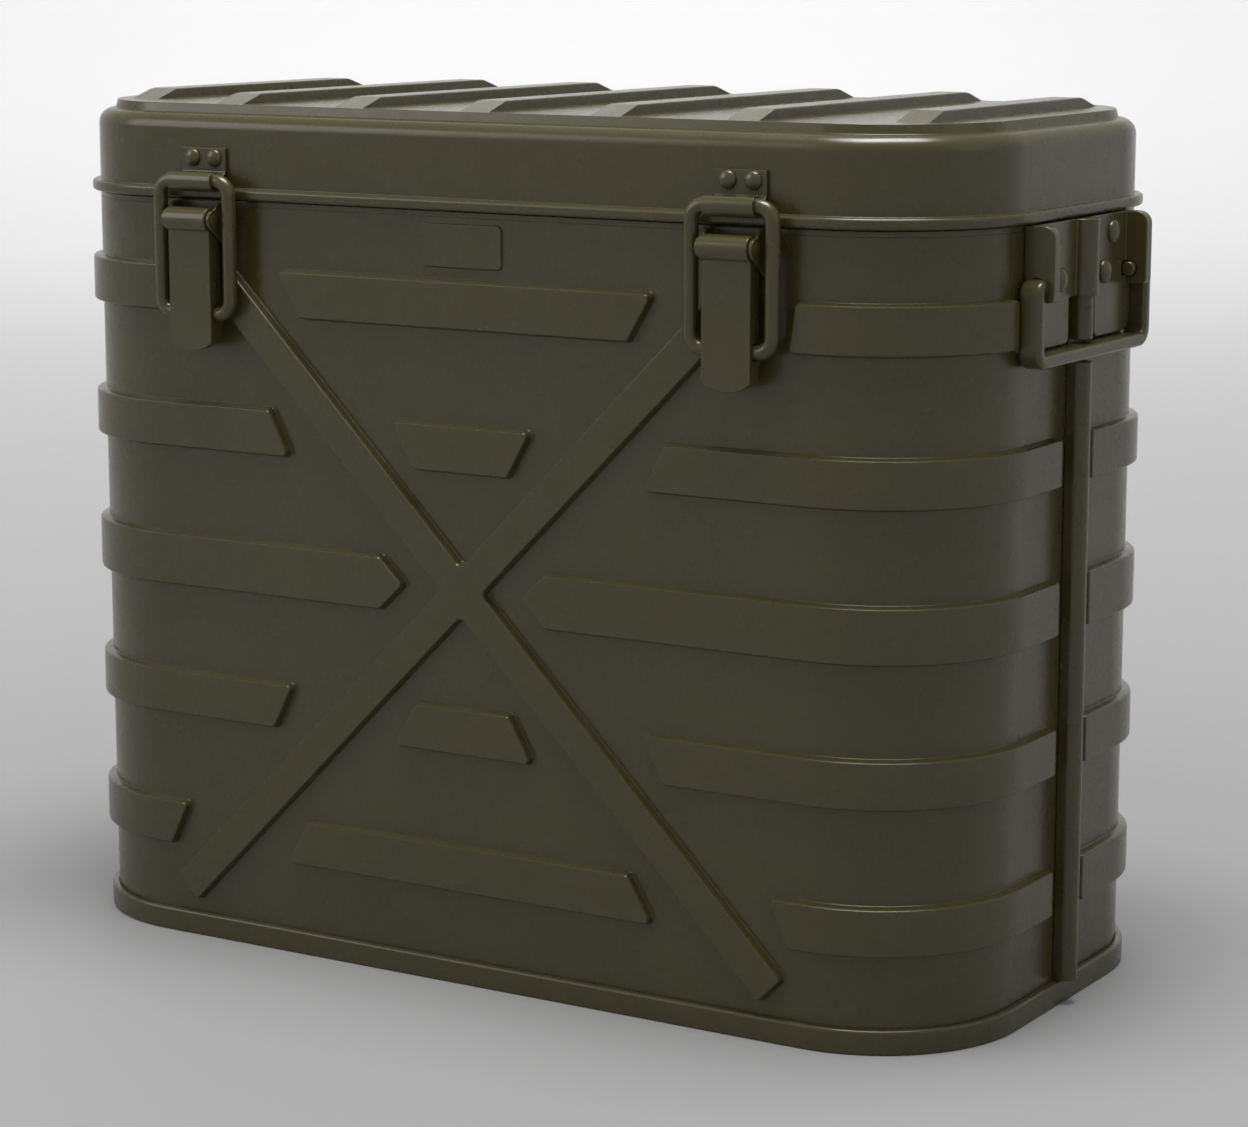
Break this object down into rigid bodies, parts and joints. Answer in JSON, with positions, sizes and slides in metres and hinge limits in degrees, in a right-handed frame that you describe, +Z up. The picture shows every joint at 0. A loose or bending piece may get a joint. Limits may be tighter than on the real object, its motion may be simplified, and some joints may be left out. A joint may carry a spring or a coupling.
{
  "type": "insulated food container",
  "caption": "Insulated rounded-rectangular carrying container with ribbed lift-off lid, toggle latches over wire loops, and swinging end handles.",
  "frame": {"origin": "centre of the footprint, on the surface the container stands on", "axes": "+X along the length towards the right-hand handle, +Y towards the back, +Z up; the pad side faces -Y"},
  "size_m": [0.6148, 0.325, 0.4825],
  "materials": {
    "body_paint": "semi-matte olive drab paint",
    "lid_paint": "semi-matte olive drab paint",
    "hardware_paint": "semi-matte olive drab paint, slightly glossier",
    "bare_aluminium": "drawn satin",
    "foam": "rigid closed-cell foam",
    "gasket_rubber": "matte"
  },
  "bodies": {
    "can": {"outer_shell": "body_paint", "base_ring": "body_paint", "inner_liner": "bare_aluminium", "insulation": "foam", "rim_channel": "body_paint", "seam_strip_right": "body_paint", "handle_bracket_right": "hardware_paint", "handle_rivet_right_1": "hardware_paint", "handle_rivet_right_2": "hardware_paint", "handle_rivet_right_3": "hardware_paint", "handle_rivet_right_4": "hardware_paint", "seam_strip_left": "body_paint", "handle_bracket_left": "hardware_paint", "handle_rivet_left_1": "hardware_paint", "handle_rivet_left_2": "hardware_paint", "handle_rivet_left_3": "hardware_paint", "handle_rivet_left_4": "hardware_paint", "latch_bracket_front_right": "hardware_paint", "latch_pin_front_right": "hardware_paint", "bracket_rivet_1_front_right": "hardware_paint", "bracket_rivet_2_front_right": "hardware_paint", "latch_bracket_front_left": "hardware_paint", "latch_pin_front_left": "hardware_paint", "bracket_rivet_1_front_left": "hardware_paint", "bracket_rivet_2_front_left": "hardware_paint", "latch_bracket_back_left": "hardware_paint", "latch_pin_back_left": "hardware_paint", "bracket_rivet_1_back_left": "hardware_paint", "bracket_rivet_2_back_left": "hardware_paint", "latch_bracket_back_right": "hardware_paint", "latch_pin_back_right": "hardware_paint", "bracket_rivet_1_back_right": "hardware_paint", "bracket_rivet_2_back_right": "hardware_paint"},
    "lid": {"lid_shell": "lid_paint", "lid_liner": "bare_aluminium", "plug_insulation": "foam", "lid_insulation": "foam", "lid_gasket": "gasket_rubber", "keeper_front_right": "hardware_paint", "keeper_rivet_1_front_right": "hardware_paint", "keeper_rivet_2_front_right": "hardware_paint", "keeper_front_left": "hardware_paint", "keeper_rivet_1_front_left": "hardware_paint", "keeper_rivet_2_front_left": "hardware_paint", "keeper_back_left": "hardware_paint", "keeper_rivet_1_back_left": "hardware_paint", "keeper_rivet_2_back_left": "hardware_paint", "keeper_back_right": "hardware_paint", "keeper_rivet_1_back_right": "hardware_paint", "keeper_rivet_2_back_right": "hardware_paint"},
    "lever_front_right": {"latch_lever_front_right": "hardware_paint"},
    "loop_front_right": {"latch_loop_front_right": "hardware_paint"},
    "lever_front_left": {"latch_lever_front_left": "hardware_paint"},
    "loop_front_left": {"latch_loop_front_left": "hardware_paint"},
    "lever_back_left": {"latch_lever_back_left": "hardware_paint"},
    "loop_back_left": {"latch_loop_back_left": "hardware_paint"},
    "lever_back_right": {"latch_lever_back_right": "hardware_paint"},
    "loop_back_right": {"latch_loop_back_right": "hardware_paint"},
    "bail_right": {"handle_bail_right": "hardware_paint"},
    "bail_left": {"handle_bail_left": "hardware_paint"}
  },
  "joints": [
    {"name": "lid_lift", "type": "slide", "parent": "can", "child": "lid", "axis": [0, 0, 1], "range_m": [0, 0.2]},
    {"name": "lever_front_right_hinge", "type": "hinge", "parent": "can", "child": "lever_front_right", "pos_m": [0.1712, -0.1557, 0.4149], "axis": [-1, 0, 0], "range_deg": [0, 135]},
    {"name": "loop_front_right_hinge", "type": "hinge", "parent": "lever_front_right", "child": "loop_front_right", "pos_m": [0.1712, -0.15185, 0.3627], "axis": [-1, 0, 0], "range_deg": [-135, 0]},
    {"name": "lever_front_left_hinge", "type": "hinge", "parent": "can", "child": "lever_front_left", "pos_m": [-0.1712, -0.1557, 0.4149], "axis": [-1, 0, 0], "range_deg": [0, 135]},
    {"name": "loop_front_left_hinge", "type": "hinge", "parent": "lever_front_left", "child": "loop_front_left", "pos_m": [-0.1712, -0.15185, 0.3627], "axis": [-1, 0, 0], "range_deg": [-135, 0]},
    {"name": "lever_back_left_hinge", "type": "hinge", "parent": "can", "child": "lever_back_left", "pos_m": [-0.1712, 0.1557, 0.4149], "axis": [1, 0, 0], "range_deg": [0, 135]},
    {"name": "loop_back_left_hinge", "type": "hinge", "parent": "lever_back_left", "child": "loop_back_left", "pos_m": [-0.1712, 0.15185, 0.3627], "axis": [1, 0, 0], "range_deg": [-135, 0]},
    {"name": "lever_back_right_hinge", "type": "hinge", "parent": "can", "child": "lever_back_right", "pos_m": [0.1712, 0.1557, 0.4149], "axis": [1, 0, 0], "range_deg": [0, 135]},
    {"name": "loop_back_right_hinge", "type": "hinge", "parent": "lever_back_right", "child": "loop_back_right", "pos_m": [0.1712, 0.15185, 0.3627], "axis": [1, 0, 0], "range_deg": [-135, 0]},
    {"name": "handle_right_hinge", "type": "hinge", "parent": "can", "child": "bail_right", "pos_m": [0.29775, 0, 0.394], "axis": [0, -1, 0], "range_deg": [0, 100]},
    {"name": "handle_left_hinge", "type": "hinge", "parent": "can", "child": "bail_left", "pos_m": [-0.29775, 0, 0.394], "axis": [0, 1, 0], "range_deg": [0, 100]}
  ],
  "couplings": [
    {"joint": "loop_front_right_hinge", "follows": "lever_front_right_hinge", "ratio": -1},
    {"joint": "loop_front_left_hinge", "follows": "lever_front_left_hinge", "ratio": -1},
    {"joint": "loop_back_left_hinge", "follows": "lever_back_left_hinge", "ratio": -1},
    {"joint": "loop_back_right_hinge", "follows": "lever_back_right_hinge", "ratio": -1}
  ]
}
